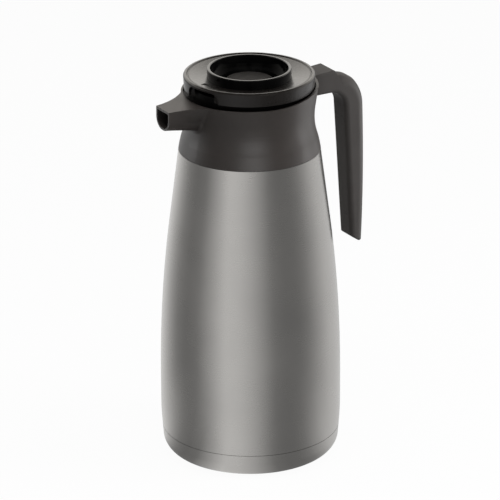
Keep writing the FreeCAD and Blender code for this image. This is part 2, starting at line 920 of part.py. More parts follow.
def make_handle():
    body = new_body("handle")
    body.BaseFeature = rounded_handle(make_handle_blank())
    add_thumb_rest(body)
    heel, heel_height = sizes("grip_heel_reach", "grip_heel_height")
    end, end_height = sizes("grip_end_reach", "grip_end_height")
    fall = (heel_height - end_height) / (end - heel)
    over = size("grip_width")
    low = size("grip_foot_height") - 1
    end_cut = outline(body, "end_slant", "XZ_Plane", [
        (heel - over, heel_height + over * fall),
        (heel - over, low),
        (end + over, low),
        (end + over, end_height - over * fall),
    ])
    pocket(body, "end_cut", end_cut, length=over * 2, symmetric=True)
    turned_cut(body, "collar_seat", collar_side(size("running_play") * 0.5) + [
        (0, size("crown_height")),
        (0, size("joint_height") + size("collar_gap")),
    ])
    recess = cover_strip(body, "cover_recess", size("cover_play"))
    recess_width = size("cover_width") + size("cover_play") * 2
    pocket(body, "cover_recess_cut", recess, length=recess_width, symmetric=True)
    spread, height = sizes("handle_screw_spread", "handle_screw_height")
    pilots = circle_sketch(body, "screw_pilots", "YZ_Plane", [(-spread, height), (spread, height)],
                           size("screw_radius") + 0.05)
    pocket(body, "screw_pilot_cut", pilots, length=size("handle_screw_end") + 1, backwards=True)
    slope = value_of(fall)

    def is_on_end(edge, middle):
        return abs(middle.z - value_of(heel_height) + (middle.x - value_of(heel)) * slope) < 0.05

    round_edges(body, "end_round", size("tip_edge_round"), is_on_end)

    collar_edge = DRIVING_SIZES["crown_radius"] + 2

    def is_on_rest(edge, middle):
        return middle.x > collar_edge and abs(middle.z - rim_line(middle.x).value) < 0.05

    round_edges(body, "thumb_rest_round", size("thumb_rest_edge"), is_on_rest)
    return body


def make_handle_cover():
    body = new_body("handle_cover")
    strip = cover_strip(body, "cover_side", size("cover_play") * 0)
    pad(body, "cover_strip", strip, size("cover_width"), symmetric=True)

    def is_corner(edge, middle):
        return edge.BoundBox.XLength > 1.5 and edge.BoundBox.ZLength < 0.5

    round_edges(body, "cover_corners", size("cover_play") * 2, is_corner)
    return body


def make_handle_screws():
    """Two countersunk screws that reach from inside the collar into the arm."""
    spread, height = value_of(size("handle_screw_spread")), value_of(size("handle_screw_height"))
    head, shank = value_of(size("screw_head_radius")), value_of(size("screw_radius"))
    depth, end = value_of(size("screw_head_depth")), value_of(size("handle_screw_end"))
    start = value_of(size("collar_bore"))
    along = FreeCAD.Vector(1, 0, 0)
    screws = []
    for side in (-1, 1):
        place = FreeCAD.Vector(start, side * spread, height)
        top = Part.makeCone(head, shank, depth, place, along)
        rod = Part.makeCylinder(shank, end - start - depth, place + along * depth, along)
        screws.append(top.fuse(rod).removeSplitter())
    feature = doc.addObject("Part::Feature", "handle_screws")
    feature.Shape = Part.makeCompound(screws)
    return feature


# Lid: cover, drum, seal and screws

def make_lid_cover():
    radius, band, low = sizes("lid_radius", "lid_band_radius", "lid_band_low")
    edge, border, groove = sizes("lid_edge_height", "lid_border_height", "lid_groove_radius")
    dish_edge, dish_low, wall = sizes("lid_dish_edge", "lid_dish_low", "lid_wall")
    shoulder = size("lid_border_round")
    hole = size("ring_radius") + size("running_play") * 1.5
    body = turned_body("lid_cover", [
        (band, low),
        (radius, edge, shoulder),
        (radius - shoulder, border),
        (groove + 0.9, border),
        (groove + 0.3, dish_edge - 0.3),
        (groove - 0.2, dish_edge - 0.3),
        (groove - 0.5, dish_edge),
        (hole, dish_low),
        (hole, dish_low - wall),
        (groove - 0.6, dish_edge - wall),
        (radius - wall - 0.4, edge - wall),
        (band - wall, low),
    ])
    circle = size("lid_screw_circle")
    boss_low = size("drum_top") + size("running_play")
    boss_top = dish_low
    boss = circle_sketch(body, "screw_boss", "XY_Plane", [(circle, 0)], size("screw_radius") + 1.3,
                         offset=boss_low)
    boss_pad = pad(body, "screw_boss_pad", boss, boss_top - boss_low)
    polar_pattern(body, "screw_bosses", boss_pad, size("lid_screw_count"))
    pilot = circle_sketch(body, "boss_pilot", "XY_Plane", [(circle, 0)], size("screw_radius") + 0.05,
                          offset=boss_low)
    pilot_cut = pocket(body, "boss_pilot_cut", pilot, length=boss_top - boss_low - 0.3, backwards=True)
    polar_pattern(body, "boss_pilots", pilot_cut, size("lid_screw_count"))
    side_window(body, "pour_notch", low - 2, size("notch_top"), size("notch_half_width"),
                size("notch_corner"), size("lid_screw_circle") + 5)
    outside, notch_foot, notch_top = value_of(band), value_of(low), value_of(size("notch_top"))

    def is_notch_edge(edge, middle):
        on_band = math.hypot(middle.x, middle.y) > outside and notch_foot < middle.z < notch_top + 0.1
        return on_band and edge.Length < outside

    round_edges(body, "notch_round", size("notch_edge"), is_notch_edge)
    return body


def side_window(body, name, low, high, half_width, corner, start):
    """A window with rounded upper corners, cut outwards near the spout's side of the lid."""
    turn = size("notch_turn")
    window = outline(body, name, "YZ_Plane", [
        (-half_width, low),
        (half_width, low),
        (half_width, high - corner, corner),
        (half_width - corner, high),
        (corner - half_width, high, corner),
        (-half_width, high - corner),
    ])
    swing = FreeCAD.Rotation(FreeCAD.Vector(0, 1, 0), value_of(turn))
    window.AttachmentOffset = FreeCAD.Placement(FreeCAD.Vector(), swing)
    back, angle = formula_of(-start), formula_of(turn)
    window.setExpression("AttachmentOffset.Rotation.Angle", angle)
    window.setExpression("AttachmentOffset.Base.x", f"{back} * sin({angle} * 1 deg)")
    window.setExpression("AttachmentOffset.Base.z", f"{back} * cos({angle} * 1 deg)")
    return pocket(body, name + "_cut", window, length=size("lid_radius"))


def make_lid_drum():
    radius, wall, low, top = sizes("drum_radius", "drum_wall", "drum_low", "drum_top")
    plate, hole = sizes("drum_plate", "drum_hole")
    body = turned_body("lid_drum", [
        (radius - wall, low),
        (radius - 0.6, low),
        (radius, low + 0.6),
        (radius, top),
        (hole, top),
        (hole, top - plate),
        (radius - wall, top - plate),
    ])
    screw = circle_sketch(body, "screw_hole", "XY_Plane", [(size("lid_screw_circle"), 0)],
                          size("screw_radius") + 0.2, offset=top - plate)
    hole_cut = pocket(body, "screw_hole_cut", screw, length=plate, backwards=True)
    polar_pattern(body, "screw_holes", hole_cut, size("lid_screw_count"))
    side_window(body, "pour_port", size("port_low"), size("port_high"), size("port_half_width"),
                size("port_corner"), size("lid_screw_circle") - 4)
    return body


def make_lid_seal():
    outer = size("collar_bore") - size("running_play") * 3
    inner = size("nut_ring_radius") + size("running_play") * 4
    low = size("web_top") + size("running_play")
    high = low + size("lid_seal_height")
    return turned_body("lid_seal", [
        (inner, low),
        (outer - 0.5, low),
        (outer, low + 0.5),
        (outer, high - 0.5),
        (outer - 0.5, high),
        (inner, high),
    ])


def make_lid_screws():
    """Pan-head screws from under the drum's plate up into the cover's bosses."""
    head, shank = value_of(size("screw_head_radius")) * 0.9, value_of(size("screw_radius"))
    depth = value_of(size("screw_head_depth"))
    circle, count = value_of(size("lid_screw_circle")), int(value_of(size("lid_screw_count")))
    under = value_of(size("drum_top") - size("drum_plate"))
    end = value_of(size("lid_dish_low")) - 0.5
    up = FreeCAD.Vector(0, 0, 1)
    screws = []
    for index in range(count):
        angle = 2 * math.pi * index / count
        place = FreeCAD.Vector(circle * math.cos(angle), circle * math.sin(angle), under)
        cap = Part.makeCone(head * 0.8, head, depth, place - up * depth, up)
        rod = Part.makeCylinder(shank, end - under, place, up)
        screws.append(cap.fuse(rod).removeSplitter())
    feature = doc.addObject("Part::Feature", "lid_screws")
    feature.Shape = Part.makeCompound(screws)
    return feature


# Brew-through funnel and valve

def make_funnel():
    ring, bore, top, edge = sizes("ring_radius", "ring_bore", "ring_top", "ring_edge")
    floor, hole = sizes("well_floor", "well_hole")
    throat_low, throat_radius = sizes("throat_low", "throat_low_radius")
    tube, wall, tube_top, tube_low = sizes("tube_radius", "tube_wall", "tube_top", "tube_low")
    flange, flange_low = sizes("flange_radius", "flange_low")
    flange_top = size("lid_dish_low") - size("lid_wall") - size("running_play")
    body = turned_body("funnel", [
        (tube, tube_low),
        (tube + wall, tube_low),
        (tube + wall, tube_top - wall * 0.5),
        (throat_radius + wall, throat_low - wall * 0.5),
        (hole + wall * 0.75, flange_low),
        (flange, flange_low),
        (flange, flange_top),
        (ring, flange_top),
        (ring, top - edge, edge),
        (ring - edge, top),
        (bore + edge, top, edge),
        (bore, top - edge),
        (bore, floor),
        (hole, floor),
        (throat_radius, throat_low),
        (tube, tube_top),
    ])
    low, high, half = size("spider_low"), size("spider_top"), size("spider_arm") / 2
    hub_radius = size("disc_hub_radius") * 0.9
    hub = circle_sketch(body, "spider_hub", "XY_Plane", [(0, 0)], hub_radius, offset=low)
    pad(body, "spider_hub_pad", hub, high - low)
    arm = outline(body, "spider_arm", "XY_Plane", [
        (hub_radius - 1, -half),
        (tube + wall * 0.5, -half),
        (tube + wall * 0.5, half),
        (hub_radius - 1, half),
    ], offset=low)
    arm_pad = pad(body, "spider_arm_pad", arm, high - low)
    polar_pattern(body, "spider_arms", arm_pad, size("lid_screw_count"))
    bore_sketch = circle_sketch(body, "stem_guide", "XY_Plane", [(0, 0)],
                                size("stem_radius") + size("stem_play"), offset=low)
    pocket(body, "stem_guide_cut", bore_sketch, length=high - low, backwards=True)
    return body


def make_valve_disc():
    radius, top, rim = sizes("disc_radius", "disc_top", "disc_rim")
    hub, hub_low = sizes("disc_hub_radius", "disc_hub_low")
    stem, stem_top = sizes("stem_radius", "stem_top")
    return turned_body("valve_disc", [
        (0, top),
        (0, stem_top),
        (stem, stem_top),
        (stem, hub_low),
        (hub, hub_low),
        (hub, top - rim - 0.8),
        (radius, top - rim),
        (radius, top - 0.6, 0.6),
        (radius - 0.6, top),
    ])


def make_valve_stem():
    radius, low, top = sizes("stem_radius", "stem_low", "stem_top")
    return turned_body("valve_stem", [
        (0, low),
        (radius - 0.5, low),
        (radius, low + 0.5),
        (radius, top),
        (0, top),
    ])


def make_valve_plate():
    stem, radius, low, top = sizes("stem_radius", "plate_radius", "plate_low", "plate_top")
    return turned_body("valve_plate", [
        (stem, low),
        (radius - 1.0, low),
        (radius, low + 1.0),
        (radius, top),
        (stem, top),
    ])


def make_valve_seal():
    stem, radius, low, top = sizes("stem_radius", "plate_radius", "plate_top", "valve_seal_top")
    return turned_body("valve_seal", [
        (stem, low),
        (radius - 0.2, low),
        (radius - 0.2, top),
        (size("tube_radius") - 0.8, top),
        (size("tube_radius") - 1.6, top - 0.9),
        (stem, top - 0.9),
    ])


def make_valve_nut():
    body = new_body("valve_nut")
    low, top = sizes("stem_low", "plate_low")
    reach = size("nut_across") / math.sqrt(3)
    flats = []
    for index in range(6):
        angle = math.radians(60 * index)
        flats.append((reach * round(math.cos(angle), 6), reach * round(math.sin(angle), 6)))
    pad(body, "nut_block", outline(body, "nut_flats", "XY_Plane", flats, offset=low + 0.6), top - low - 0.6)
    bore = circle_sketch(body, "nut_bore", "XY_Plane", [(0, 0)], size("stem_radius"), offset=low)
    pocket(body, "nut_bore_cut", bore, length=top - low, backwards=True)
    return body


def make_valve_spring():
    """The return spring as one unbroken wire, its helix drawn by quarter-turn arcs."""
    radius, wire = value_of(size("spring_radius")), value_of(size("spring_wire"))
    turns = value_of(size("spring_turns"))
    play = value_of(size("stem_play"))
    low = value_of(size("spider_top")) + wire / 2 + play
    high = value_of(size("disc_hub_low")) - wire / 2 - play
    quarters = int(turns * 4)

    def on_helix(quarter):
        angle = quarter * math.pi / 2
        height = low + (high - low) * quarter / quarters
        return FreeCAD.Vector(radius * math.cos(angle), radius * math.sin(angle), height)

    arcs = []
    for quarter in range(quarters):
        arc = Part.Arc(on_helix(quarter), on_helix(quarter + 0.5), on_helix(quarter + 1))
        arcs.append(arc.toShape())
    path = Part.Wire(arcs)
    start = on_helix(0)
    section = Part.Wire([Part.makeCircle(wire / 2, start, arcs[0].tangentAt(arcs[0].FirstParameter))])
    feature = doc.addObject("Part::Feature", "valve_spring")
    feature.Shape = path.makePipeShell([section], True, False)
    steps = 8
    points = [on_helix(step / steps) for step in range(quarters * steps + 1)]
    next_turn = 3 * steps
    gaps = [first.distanceToPoint(second) - wire
            for index, first in enumerate(points) for second in points[index + next_turn:]]
    print("spring: least gap to itself", round(min(gaps), 2), "mm")
    return feature


PIECES = [
    make_outer_shell(),
    make_base_cup(),
    make_inner_flask(),
    make_vacuum_seal(),
    make_getter(),
    make_base_pad(),
    make_collar(),
    make_collar_gasket(),
    make_neck_nut(),
    make_handle(),
    make_handle_cover(),
    make_handle_screws(),
    make_lid_cover(),
    make_lid_drum(),
    make_lid_seal(),
    make_lid_screws(),
    make_funnel(),
    make_valve_disc(),
    make_valve_stem(),
    make_valve_plate(),
    make_valve_seal(),
    make_valve_nut(),
    make_valve_spring(),
]

doc.recompute()

failed = [item.Name for item in doc.Objects if {"Invalid", "Error"} & set(item.State)]
if failed:
    raise RuntimeError(f"failed features: {failed}")
for piece in PIECES:
    if piece.Shape.isNull() or not piece.Shape.isValid():
        raise RuntimeError(f"{piece.Label} has no valid shape")

os.makedirs("parts", exist_ok=True)
for piece in PIECES:
    piece.Shape.exportStep(f"parts/{piece.Label}.step")
    print(piece.Label, "solids", len(piece.Shape.Solids), "volume", round(piece.Shape.Volume))
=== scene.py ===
import json
import math

import bpy
from mathutils import Matrix, Vector


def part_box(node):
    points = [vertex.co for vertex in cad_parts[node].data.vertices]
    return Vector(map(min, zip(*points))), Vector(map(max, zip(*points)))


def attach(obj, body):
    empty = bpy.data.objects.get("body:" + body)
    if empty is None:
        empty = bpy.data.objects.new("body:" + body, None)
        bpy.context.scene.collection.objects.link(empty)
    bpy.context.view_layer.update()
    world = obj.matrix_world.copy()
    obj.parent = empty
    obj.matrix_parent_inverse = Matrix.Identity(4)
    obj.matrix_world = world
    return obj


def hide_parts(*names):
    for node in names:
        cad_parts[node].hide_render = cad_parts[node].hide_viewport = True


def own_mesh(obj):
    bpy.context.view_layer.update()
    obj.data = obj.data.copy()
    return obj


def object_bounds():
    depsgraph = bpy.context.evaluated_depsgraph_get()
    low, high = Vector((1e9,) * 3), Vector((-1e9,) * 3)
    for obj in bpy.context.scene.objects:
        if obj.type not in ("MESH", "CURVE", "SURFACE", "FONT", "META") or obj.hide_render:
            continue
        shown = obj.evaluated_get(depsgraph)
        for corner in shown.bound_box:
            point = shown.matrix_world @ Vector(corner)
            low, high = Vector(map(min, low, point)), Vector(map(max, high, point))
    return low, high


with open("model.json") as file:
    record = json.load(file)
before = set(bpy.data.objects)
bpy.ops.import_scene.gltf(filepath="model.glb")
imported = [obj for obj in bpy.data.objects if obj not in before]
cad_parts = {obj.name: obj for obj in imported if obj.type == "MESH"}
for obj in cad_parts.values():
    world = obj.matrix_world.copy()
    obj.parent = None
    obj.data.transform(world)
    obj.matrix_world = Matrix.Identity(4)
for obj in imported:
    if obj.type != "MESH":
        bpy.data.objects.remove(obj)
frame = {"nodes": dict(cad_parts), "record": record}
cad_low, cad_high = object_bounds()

nodes = frame["nodes"]
bpy.ops.object.select_all(action="DESELECT")


# Camera at the photograph's angle

CAMERA_AZIMUTH = math.radians(-30.5)
CAMERA_REACH = 2.7706
CAMERA_HEIGHT = 1.2410
AIM_HEIGHT = 0.1526
CAMERA_ROLL = math.radians(-0.25)
LENS = 298.4
FILM_WIDTH = 36
FARTHEST_SIGHT = 20


def round_the_jug(degrees, reach, height):
    """A place by its angle from the camera, to the right as the photograph shows it."""
    angle = CAMERA_AZIMUTH + math.radians(degrees)
    return Vector((math.sin(angle) * reach, -math.cos(angle) * reach, height))


bpy.ops.object.camera_add(location=round_the_jug(0, CAMERA_REACH, CAMERA_HEIGHT))
camera = bpy.context.object
camera.data.lens = LENS
camera.data.sensor_width = FILM_WIDTH
camera.data.clip_end = FARTHEST_SIGHT
aim = Vector((0, 0, AIM_HEIGHT)) - camera.location
roll = Matrix.Rotation(CAMERA_ROLL, 3, "Z").to_quaternion()
camera.rotation_mode = "QUATERNION"
camera.rotation_quaternion = aim.to_track_quat("-Z", "Y") @ roll
bpy.context.scene.camera = camera


# Tools for the finishes

LOW_TONE = 0.3
HIGH_TONE = 0.7


def new_finish(name):
    """An empty finish, with its node tree and its shader."""
    finish = bpy.data.materials.new(name)
    finish.use_nodes = True
    return finish, finish.node_tree, finish.node_tree.nodes["Principled BSDF"]


def bare_finish(name):
    """A finish for the studio with an empty node tree, and the socket that its surface goes to."""
    finish = bpy.data.materials.new(name)
    finish.use_nodes = True
    finish.node_tree.nodes.clear()
    output = finish.node_tree.nodes.new("ShaderNodeOutputMaterial")
    return finish, finish.node_tree, output.inputs["Surface"]


def own_place(tree, stretch=(1, 1, 1)):
    """The piece's own coordinates in metres, stretched along each axis."""
    place = tree.nodes.new("ShaderNodeTexCoord")
    mapping = tree.nodes.new("ShaderNodeMapping")
    mapping.inputs["Scale"].default_value = stretch
    tree.links.new(place.outputs["Object"], mapping.inputs["Vector"])
    return mapping.outputs["Vector"]


def mottle(tree, per_metre, stretch=(1, 1, 1), detail=3.0):
    """Cloudy variation from 0 to 1."""
    noise = tree.nodes.new("ShaderNodeTexNoise")
    noise.inputs["Scale"].default_value = per_metre
    noise.inputs["Detail"].default_value = detail
    tree.links.new(own_place(tree, stretch), noise.inputs["Vector"])
    return noise.outputs["Fac"]


def turned_rings(tree, per_metre):
    """Fine rings about the jug's axis, as turning leaves them."""
    wave = tree.nodes.new("ShaderNodeTexWave")
    wave.wave_type = "RINGS"
    wave.rings_direction = "Z"
    wave.inputs["Scale"].default_value = per_metre
    wave.inputs["Distortion"].default_value = 0.8
    wave.inputs["Detail"].default_value = 2.0
    tree.links.new(own_place(tree), wave.inputs["Vector"])
    return wave.outputs["Fac"]


def pebbles(tree, per_metre):
    """Small rounded bumps side by side."""
    cells = tree.nodes.new("ShaderNodeTexVoronoi")
    cells.feature = "SMOOTH_F1"
    cells.inputs["Scale"].default_value = per_metre
    tree.links.new(own_place(tree), cells.inputs["Vector"])
    return cells.outputs["Distance"]


def between(tree, value, low, high, start=LOW_TONE, end=HIGH_TONE):
    """A value from start to end, spread from low to high."""
    spread = tree.nodes.new("ShaderNodeMapRange")
    spread.inputs["From Min"].default_value = start
    spread.inputs["From Max"].default_value = end
    spread.inputs["To Min"].default_value = low
    spread.inputs["To Max"].default_value = high
    tree.links.new(value, spread.inputs["Value"])
    return spread.outputs["Result"]


def joined(tree, operation, first, second):
    """Two values put together by one sum, kept from 0 to 1."""
    sum_of_both = tree.nodes.new("ShaderNodeMath")
    sum_of_both.operation = operation
    sum_of_both.use_clamp = True
    for socket, value in zip(sum_of_both.inputs, (first, second)):
        if isinstance(value, float):
            socket.default_value = value
        else:
            tree.links.new(value, socket)
    return sum_of_both.outputs["Value"]


def shades(tree, value, stops):
    """Colours along a value from 0 to 1."""
    ramp = tree.nodes.new("ShaderNodeValToRGB")
    elements = ramp.color_ramp.elements
    while len(elements) < len(stops):
        elements.new(position=0.5)
    for element, (place, colour) in zip(elements, stops):
        element.position = place
        element.color = (*colour, 1)
    tree.links.new(value, ramp.inputs["Fac"])
    return ramp.outputs["Color"]


def mixed(tree, share, first, second):
    """A colour that goes from the first to the second by a share from 0 to 1."""
    mix = tree.nodes.new("ShaderNodeMixRGB")
    tree.links.new(share, mix.inputs["Fac"])
    tree.links.new(first, mix.inputs["Color1"])
    tree.links.new(second, mix.inputs["Color2"])
    return mix.outputs["Color"]


EDGE_SAMPLES = 4
EDGE_START = 0.88
EDGE_END = 0.99


def worn_edges(tree, radius):
    """1 along edges that are tighter than a radius, and 0 on open faces."""
    bevel = tree.nodes.new("ShaderNodeBevel")
    bevel.samples = EDGE_SAMPLES
    bevel.inputs["Radius"].default_value = radius
    face = tree.nodes.new("ShaderNodeNewGeometry")
    likeness = tree.nodes.new("ShaderNodeVectorMath")
    likeness.operation = "DOT_PRODUCT"
    tree.links.new(bevel.outputs["Normal"], likeness.inputs[0])
    tree.links.new(face.outputs["Normal"], likeness.inputs[1])
    return between(tree, likeness.outputs["Value"], 1.0, 0.0, EDGE_START, EDGE_END)


def raise_surface(tree, shader, height, distance):
    """Bump of a given height in metres."""
    bump = tree.nodes.new("ShaderNodeBump")
    bump.inputs["Distance"].default_value = distance
    tree.links.new(height, bump.inputs["Height"])
    tree.links.new(bump.outputs["Normal"], shader.inputs["Normal"])


def colour_by(tree, shader, tone, dark, light):
    """Base colour that follows one pattern."""
    colour = shades(tree, tone, [(LOW_TONE, dark), (HIGH_TONE, light)])
    tree.links.new(colour, shader.inputs["Base Color"])


# Finishes

QUARTER_TURN = 0.25
STEEL_CLOUDS = 22.0
CLOUD_SHARE = 0.85
GRAIN_SHARE = 0.15


def make_steel(name, dark, light, smooth, rough, grain_stretch, grain_height, stretch_of_shine):
    """Steel with a fine grain round the jug's axis and faint clouding."""
    finish, tree, shader = new_finish(name)
    shader.inputs["Metallic"].default_value = 1.0
    shader.inputs["Anisotropic"].default_value = stretch_of_shine
    shader.inputs["Anisotropic Rotation"].default_value = QUARTER_TURN
    around = tree.nodes.new("ShaderNodeTangent")
    around.direction_type = "RADIAL"
    around.axis = "Z"
    tree.links.new(around.outputs["Tangent"], shader.inputs["Tangent"])
    grain = mottle(tree, per_metre=1.0, stretch=grain_stretch, detail=2.0)
    clouds = mottle(tree, STEEL_CLOUDS)
    tone = joined(
        tree, "ADD",
        between(tree, clouds, 0.0, CLOUD_SHARE), between(tree, grain, 0.0, GRAIN_SHARE))
    colour = shades(tree, tone, [(0.0, dark), (1.0, light)])
    tree.links.new(colour, shader.inputs["Base Color"])
    tree.links.new(between(tree, tone, smooth, rough, 0.0, 1.0), shader.inputs["Roughness"])
    raise_surface(tree, shader, grain, grain_height)
    return finish


SPARKS = 2600.0
SPARK_HEIGHT = 0.000012
PLASTIC_CLOUDS = 34.0
RUBBED_SPOTS = 120.0
RUBBED_RADIUS = 0.0009
LEAST_RUBBED = 0.35
# Reach and samples of the painted shade in the plastics' recesses.
RECESS_SHADE_REACH = 0.012
RECESS_SHADE_SAMPLES = 6


def make_moulded_plastic(name, dark, light, worn, smooth, rough, shine):
    """Moulded plastic with a spark grain, painted shade that darkens its recesses, and paler on
    its rubbed edges.
    """
    finish, tree, shader = new_finish(name)
    shader.inputs["Specular IOR Level"].default_value = shine
    spark = mottle(tree, SPARKS, detail=2.0)
    clouds = mottle(tree, PLASTIC_CLOUDS)
    rubbed = between(tree, mottle(tree, RUBBED_SPOTS), LEAST_RUBBED, 1.0)
    wear = joined(tree, "MULTIPLY", worn_edges(tree, RUBBED_RADIUS), rubbed)
    tone = joined(
        tree, "ADD", between(tree, clouds, 0.0, 0.5), between(tree, wear, 0.0, 0.5, 0.0, 1.0))
    colour = shades(tree, tone, [(0.0, dark), (0.5, light), (1.0, worn)])
    # Painted shade: ambient occlusion darkens the base colour in recesses, creases and gaps
    # between parts.
    painted_recess_shade = tree.nodes.new("ShaderNodeAmbientOcclusion")
    painted_recess_shade.samples = RECESS_SHADE_SAMPLES
    painted_recess_shade.inputs["Distance"].default_value = RECESS_SHADE_REACH
    tree.links.new(colour, painted_recess_shade.inputs["Color"])
    tree.links.new(painted_recess_shade.outputs["Color"], shader.inputs["Base Color"])
    gloss = joined(tree, "ADD", between(tree, clouds, 0.0, 0.5), between(tree, spark, 0.0, 0.5))
    tree.links.new(between(tree, gloss, smooth, rough, 0.0, 1.0), shader.inputs["Roughness"])
    raise_surface(tree, shader, spark, SPARK_HEIGHT)
    return finish


def make_gloss_black():
    """Polished black plastic with faint wiping marks."""
    finish, tree, shader = new_finish("gloss_black")
    shader.inputs["Specular IOR Level"].default_value = 0.2
    wipes = mottle(tree, per_metre=60.0, stretch=(1, 3, 1))
    colour_by(tree, shader, wipes, dark=(0.0022, 0.0022, 0.0024), light=(0.0042, 0.0041, 0.0040))
    tree.links.new(between(tree, wipes, low=0.06, high=0.13), shader.inputs["Roughness"])
    raise_surface(tree, shader, mottle(tree, per_metre=500.0), distance=0.000003)
    return finish


def make_disc_plastic():
    """Matte dark grey plastic with faint turned rings."""
    finish, tree, shader = new_finish("disc_plastic")
    shader.inputs["Specular IOR Level"].default_value = 0.12
    rings = turned_rings(tree, per_metre=420.0)
    clouds = mottle(tree, per_metre=90.0)
    colour_by(tree, shader, clouds, dark=(0.0195, 0.0177, 0.0166), light=(0.0260, 0.0238, 0.0224))
    roughness = between(tree, rings, low=0.58, high=0.70, start=0.0, end=1.0)
    tree.links.new(roughness, shader.inputs["Roughness"])
    raise_surface(tree, shader, rings, distance=0.00001)
    return finish


def make_black_plastic_with_notch_shade():
    """Black inner plastic with a soft moulded skin, its colour made darker than black plastic as
    painted shade inside the lid's notch.
    """
    finish, tree, shader = new_finish("black_plastic")
    shader.inputs["Specular IOR Level"].default_value = 0.12
    clouds = mottle(tree, per_metre=48.0)
    # Partly painted shade: the near-zero colour stands for the shade where this black plastic
    # shows through the lid's notch.
    colour_by(tree, shader, clouds, dark=(0.0014, 0.0014, 0.0015), light=(0.0024, 0.0023, 0.0023))
    tree.links.new(between(tree, clouds, low=0.34, high=0.46), shader.inputs["Roughness"])
    raise_surface(tree, shader, mottle(tree, per_metre=1800.0), distance=0.000008)
    return finish


def make_mark_black():
    """Matte black print with a dry, slightly worn surface."""
    finish, tree, shader = new_finish("mark_black")
    shader.inputs["Specular IOR Level"].default_value = 0.05
    wear = mottle(tree, per_metre=900.0)
    colour_by(tree, shader, wear, dark=(0.0020, 0.0018, 0.0017), light=(0.0052, 0.0047, 0.0044))
    tree.links.new(between(tree, wear, low=0.62, high=0.80), shader.inputs["Roughness"])
    raise_surface(tree, shader, mottle(tree, per_metre=2600.0), distance=0.000008)
    return finish


def make_rubber(name, dark, light, bump_per_metre, bump_height):
    """Rubber with a dusty bloom and a pebbled skin."""
    finish, tree, shader = new_finish(name)
    shader.inputs["Sheen Weight"].default_value = 0.15
    shader.inputs["Specular IOR Level"].default_value = 0.35
    bloom = mottle(tree, per_metre=140.0)
    colour_by(tree, shader, bloom, dark, light)
    tree.links.new(between(tree, bloom, low=0.58, high=0.78), shader.inputs["Roughness"])
    raise_surface(tree, shader, pebbles(tree, bump_per_metre), bump_height)
    return finish


FINISHES = {
    "satin_steel": make_steel(
        "satin_steel", dark=(0.545, 0.532, 0.512), light=(0.605, 0.590, 0.568),
        smooth=0.23, rough=0.31,
        grain_stretch=(30, 30, 4200), grain_height=0.0000001, stretch_of_shine=0.45),
    "flask_steel": make_steel(
        "flask_steel", dark=(0.600, 0.596, 0.585), light=(0.680, 0.676, 0.665),
        smooth=0.15, rough=0.24,
        grain_stretch=(10, 10, 900), grain_height=0.000002, stretch_of_shine=0.3),
    "screw_steel": make_steel(
        "screw_steel", dark=(0.520, 0.515, 0.505), light=(0.640, 0.634, 0.622),
        smooth=0.20, rough=0.34,
        grain_stretch=(900, 900, 900), grain_height=0.000004, stretch_of_shine=0.0),
    "charcoal_plastic": make_moulded_plastic(
        "charcoal_plastic", dark=(0.0370, 0.0315, 0.0288), light=(0.0440, 0.0378, 0.0346),
        worn=(0.0640, 0.0570, 0.0530), smooth=0.36, rough=0.46, shine=0.22),
    "gloss_black": make_gloss_black(),
    "disc_plastic": make_disc_plastic(),
    "black_plastic": make_black_plastic_with_notch_shade(),
    "seal_rubber": make_rubber(
        "seal_rubber", dark=(0.105, 0.104, 0.102), light=(0.150, 0.149, 0.146),
        bump_per_metre=900.0, bump_height=0.00001),
    "pad_rubber": make_rubber(
        "pad_rubber", dark=(0.012, 0.012, 0.012), light=(0.022, 0.022, 0.021),
        bump_per_metre=420.0, bump_height=0.00012),
}

# Lighter and darker copies of the charcoal plastic: the handle's lighter colour is painted light,
# and the lid cover's darker colour is painted shade.
grip_plastic_painted_lighter = make_moulded_plastic(
    "grip_plastic_painted_lighter", dark=(0.0560, 0.0515, 0.0492), light=(0.0660, 0.0612, 0.0586),
    worn=(0.0860, 0.0805, 0.0775), smooth=0.50, rough=0.62, shine=0.1)
lid_plastic_painted_darker = make_moulded_plastic(
    "lid_plastic_painted_darker", dark=(0.0100, 0.0084, 0.0075), light=(0.0130, 0.0110, 0.0099),
    worn=(0.0270, 0.0237, 0.0218), smooth=0.24, rough=0.31, shine=0.3)
PAINTED_LIGHT_AND_SHADE_COPIES = {"handle": grip_plastic_painted_lighter, "handle_cover": grip_plastic_painted_lighter, "lid_cover": lid_plastic_painted_darker}

# Each piece gets its slot's finish, except the handle and lid cover, which get the painted light
# and painted shade copies.
for part in frame["record"]["subparts"]:
    mesh = nodes[part["node"]].data
    mesh.materials.clear()
    mesh.materials.append(PAINTED_LIGHT_AND_SHADE_COPIES.get(part["node"], FINISHES[part["material_slot"]]))


# Raised turning mark on the lid

MARK_ANGLE = math.radians(182.5)
MARK_REACH = 0.0372
MARK_SIZE = 0.0030
MARK_THICKNESS = 0.0008
MARK_PROUD = 0.0003
MARK_BORDER = 0.0006
MARK_DIP = 0.00012
MARK_ROUNDING = 0.00015
MARK_SMOOTH_ANGLE = math.radians(30)
CLEAR_OF_LID = 0.1
UPWARD_ENOUGH = 0.9


def faces_up(face):
    """Whether a face looks upwards."""
    return face.normal.z > UPWARD_ENOUGH


def pick_faces(piece, wanted):
    """Goes into edit mode with only the faces selected that a test picks."""
    bpy.ops.object.mode_set(mode="EDIT")
    bpy.ops.mesh.select_mode(type="FACE")
    bpy.ops.mesh.select_all(action="DESELECT")
    bpy.ops.object.mode_set(mode="OBJECT")
    for face in piece.data.polygons:
        face.select = wanted(face)
    bpy.ops.object.mode_set(mode="EDIT")


